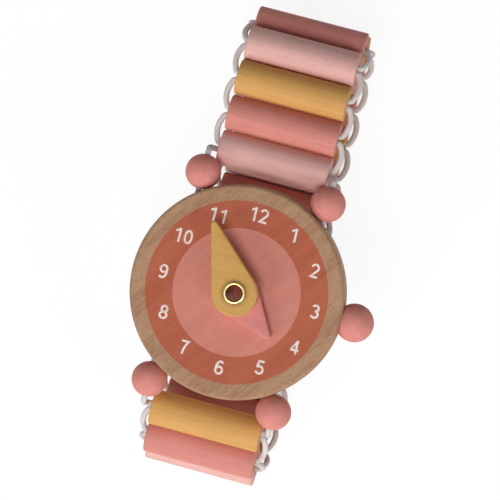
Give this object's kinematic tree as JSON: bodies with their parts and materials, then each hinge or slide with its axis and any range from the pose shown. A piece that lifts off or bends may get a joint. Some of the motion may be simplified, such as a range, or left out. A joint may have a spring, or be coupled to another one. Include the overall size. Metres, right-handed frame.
{
  "type": "toy wristwatch",
  "caption": "Wooden toy wristwatch: round printed case with turning teardrop hands on an open brass eyelet, ball lugs and crown, on a stretchy bracelet of round wooden slats.",
  "frame": {"origin": "on the eyelet's axis, halfway through the thickness of the case", "axes": "+Z out of the dial, +Y towards 12 o'clock along the strap, +X towards 3 o'clock and the crown"},
  "size_m": [0.0414, 0.0796, 0.0308],
  "materials": {
    "natural_wood": "bare fine-grained wood with a printed dial",
    "coral_paint": "matt coral paint on wood, grain showing",
    "pale_pink_paint": "matt pale pink paint on wood, grain showing",
    "mustard_paint": "matt mustard paint on wood, grain showing",
    "brass": "bright rolled brass",
    "elastic": "off-white covered elastic cord"
  },
  "bodies": {
    "watch_case": {"case_disc": "natural_wood", "eyelet": "brass", "lug_bead_upper_left": "coral_paint", "lug_bead_upper_right": "coral_paint", "lug_bead_lower_left": "coral_paint", "lug_bead_lower_right": "coral_paint", "crown_ball": "coral_paint", "crown_peg": "natural_wood", "elastic_case_left": "elastic", "elastic_case_right": "elastic"},
    "hour_hand": {"hour_hand": "coral_paint"},
    "minute_hand": {"minute_hand": "mustard_paint"},
    "slat_01": {"slat_01": "pale_pink_paint", "elastic_lug_upper": "elastic"},
    "slat_02": {"slat_02": "coral_paint", "elastic_link_01": "elastic"},
    "slat_03": {"slat_03": "mustard_paint", "elastic_link_02": "elastic"},
    "slat_04": {"slat_04": "pale_pink_paint", "elastic_link_03": "elastic"},
    "slat_05": {"slat_05": "coral_paint", "elastic_link_04": "elastic"},
    "slat_06": {"slat_06": "mustard_paint", "elastic_link_05": "elastic"},
    "slat_07": {"slat_07": "pale_pink_paint", "elastic_link_06": "elastic"},
    "slat_08": {"slat_08": "coral_paint", "elastic_link_07": "elastic"},
    "slat_09": {"slat_09": "mustard_paint", "elastic_link_08": "elastic"},
    "slat_10": {"slat_10": "pale_pink_paint", "elastic_link_09": "elastic"},
    "slat_11": {"slat_11": "coral_paint", "elastic_link_10": "elastic"},
    "slat_12": {"slat_12": "mustard_paint", "elastic_link_12": "elastic"},
    "slat_13": {"slat_13": "pale_pink_paint", "elastic_link_13": "elastic"},
    "slat_14": {"slat_14": "coral_paint", "elastic_link_14": "elastic"},
    "slat_15": {"slat_15": "mustard_paint", "elastic_link_15": "elastic"},
    "slat_16": {"slat_16": "pale_pink_paint", "elastic_link_16": "elastic"},
    "slat_17": {"slat_17": "coral_paint", "elastic_link_17": "elastic"},
    "slat_18": {"slat_18": "mustard_paint", "elastic_link_18": "elastic"},
    "slat_19": {"slat_19": "pale_pink_paint", "elastic_link_19": "elastic"},
    "slat_20": {"slat_20": "coral_paint", "elastic_link_20": "elastic"},
    "slat_21": {"slat_21": "mustard_paint", "elastic_lug_lower": "elastic"},
    "closing_link": {"elastic_link_11": "elastic"}
  },
  "joints": [
    {"name": "hour_hand_turn", "type": "hinge", "parent": "watch_case", "child": "hour_hand", "pos_m": [0, 0, 0], "axis": [0, 0, 1], "continuous": true},
    {"name": "minute_hand_turn", "type": "hinge", "parent": "watch_case", "child": "minute_hand", "pos_m": [0, 0, 0], "axis": [0, 0, 1], "continuous": true},
    {"name": "slat_01_hinge", "type": "hinge", "parent": "watch_case", "child": "slat_01", "pos_m": [0, 0.01795, 0], "axis": [-1, 0, 0], "range_deg": [-0.3, 17.93]},
    {"name": "strap_open", "type": "hinge", "parent": "slat_01", "child": "slat_02", "pos_m": [0, 0.02259, -0.0035], "axis": [-1, 0, 0], "range_deg": [0, 47.34]},
    {"name": "slat_03_hinge", "type": "hinge", "parent": "slat_02", "child": "slat_03", "pos_m": [0, 0.02869, -0.0035], "axis": [-1, 0, 0], "range_deg": [-0.3, 10.13]},
    {"name": "slat_04_hinge", "type": "hinge", "parent": "slat_03", "child": "slat_04", "pos_m": [0, 0.03479, -0.0035], "axis": [-1, 0, 0], "range_deg": [-3.89, 0.3]},
    {"name": "slat_05_hinge", "type": "hinge", "parent": "slat_04", "child": "slat_05", "pos_m": [0, 0.0407, -0.00498], "axis": [-1, 0, 0], "range_deg": [-26.91, 0.3]},
    {"name": "slat_06_hinge", "type": "hinge", "parent": "slat_05", "child": "slat_06", "pos_m": [0, 0.04429, -0.00992], "axis": [-1, 0, 0], "range_deg": [-24.83, 0.3]},
    {"name": "slat_07_hinge", "type": "hinge", "parent": "slat_06", "child": "slat_07", "pos_m": [0, 0.04386, -0.016], "axis": [-1, 0, 0], "range_deg": [-23.42, 0.3]},
    {"name": "slat_08_hinge", "type": "hinge", "parent": "slat_07", "child": "slat_08", "pos_m": [0, 0.03962, -0.02039], "axis": [-1, 0, 0], "range_deg": [-23.58, 0.3]},
    {"name": "slat_09_hinge", "type": "hinge", "parent": "slat_08", "child": "slat_09", "pos_m": [0, 0.03355, -0.02102], "axis": [-1, 0, 0], "range_deg": [-0.3, 8.11]},
    {"name": "slat_10_hinge", "type": "hinge", "parent": "slat_09", "child": "slat_10", "pos_m": [0, 0.02745, -0.02102], "axis": [-1, 0, 0], "range_deg": [-0.3, 10.87]},
    {"name": "slat_11_hinge", "type": "hinge", "parent": "slat_10", "child": "slat_11", "pos_m": [0, 0.02135, -0.02102], "axis": [-1, 0, 0], "range_deg": [-0.3, 8.96]},
    {"name": "slat_21_hinge", "type": "hinge", "parent": "watch_case", "child": "slat_21", "pos_m": [0, -0.01795, 0], "axis": [1, 0, 0], "range_deg": [-0.3, 14.59]},
    {"name": "slat_20_hinge", "type": "hinge", "parent": "slat_21", "child": "slat_20", "pos_m": [0, -0.02259, -0.0035], "axis": [1, 0, 0], "range_deg": [-3.74, 0.3]},
    {"name": "slat_19_hinge", "type": "hinge", "parent": "slat_20", "child": "slat_19", "pos_m": [0, -0.02764, -0.00692], "axis": [1, 0, 0], "range_deg": [-30.35, 0.3]},
    {"name": "slat_18_hinge", "type": "hinge", "parent": "slat_19", "child": "slat_18", "pos_m": [0, -0.02932, -0.01278], "axis": [1, 0, 0], "range_deg": [-28.41, 0.3]},
    {"name": "slat_17_hinge", "type": "hinge", "parent": "slat_18", "child": "slat_17", "pos_m": [0, -0.02684, -0.01835], "axis": [1, 0, 0], "range_deg": [-23.76, 0.3]},
    {"name": "slat_16_hinge", "type": "hinge", "parent": "slat_17", "child": "slat_16", "pos_m": [0, -0.02135, -0.02102], "axis": [1, 0, 0], "range_deg": [-3.92, 0.3]},
    {"name": "slat_15_hinge", "type": "hinge", "parent": "slat_16", "child": "slat_15", "pos_m": [0, -0.01525, -0.02102], "axis": [1, 0, 0], "range_deg": [-0.3, 23.08]},
    {"name": "slat_14_hinge", "type": "hinge", "parent": "slat_15", "child": "slat_14", "pos_m": [0, -0.00915, -0.02102], "axis": [1, 0, 0], "range_deg": [-0.3, 17.63]},
    {"name": "slat_13_hinge", "type": "hinge", "parent": "slat_14", "child": "slat_13", "pos_m": [0, -0.00305, -0.02102], "axis": [1, 0, 0], "range_deg": [-0.3, 12.14]},
    {"name": "slat_12_hinge", "type": "hinge", "parent": "slat_13", "child": "slat_12", "pos_m": [0, 0.00305, -0.02102], "axis": [1, 0, 0], "range_deg": [-0.3, 8.24]},
    {"name": "closing_link_hinge", "type": "hinge", "parent": "slat_12", "child": "closing_link", "pos_m": [0, 0.00915, -0.02102], "axis": [1, 0, 0], "range_deg": [-0.3, 5.21]}
  ],
  "couplings": [
    {"joint": "slat_01_hinge", "follows": "strap_open", "ratio": 0.37246},
    {"joint": "slat_03_hinge", "follows": "strap_open", "ratio": 0.20769},
    {"joint": "slat_04_hinge", "follows": "strap_open", "ratio": -0.075848},
    {"joint": "slat_05_hinge", "follows": "strap_open", "ratio": -0.56202},
    {"joint": "slat_06_hinge", "follows": "strap_open", "ratio": -0.51813},
    {"joint": "slat_07_hinge", "follows": "strap_open", "ratio": -0.48831},
    {"joint": "slat_08_hinge", "follows": "strap_open", "ratio": -0.49182},
    {"joint": "slat_09_hinge", "follows": "strap_open", "ratio": 0.16493},
    {"joint": "slat_10_hinge", "follows": "strap_open", "ratio": 0.22325},
    {"joint": "slat_11_hinge", "follows": "strap_open", "ratio": 0.18286},
    {"joint": "slat_21_hinge", "follows": "strap_open", "ratio": 0.30177},
    {"joint": "slat_20_hinge", "follows": "strap_open", "ratio": -0.072739},
    {"joint": "slat_19_hinge", "follows": "strap_open", "ratio": -0.63466},
    {"joint": "slat_18_hinge", "follows": "strap_open", "ratio": -0.59383},
    {"joint": "slat_17_hinge", "follows": "strap_open", "ratio": -0.49553},
    {"joint": "slat_16_hinge", "follows": "strap_open", "ratio": -0.076485},
    {"joint": "slat_15_hinge", "follows": "strap_open", "ratio": 0.48118},
    {"joint": "slat_14_hinge", "follows": "strap_open", "ratio": 0.36595},
    {"joint": "slat_13_hinge", "follows": "strap_open", "ratio": 0.25018},
    {"joint": "slat_12_hinge", "follows": "strap_open", "ratio": 0.16764},
    {"joint": "closing_link_hinge", "follows": "strap_open", "ratio": 0.10379}
  ]
}
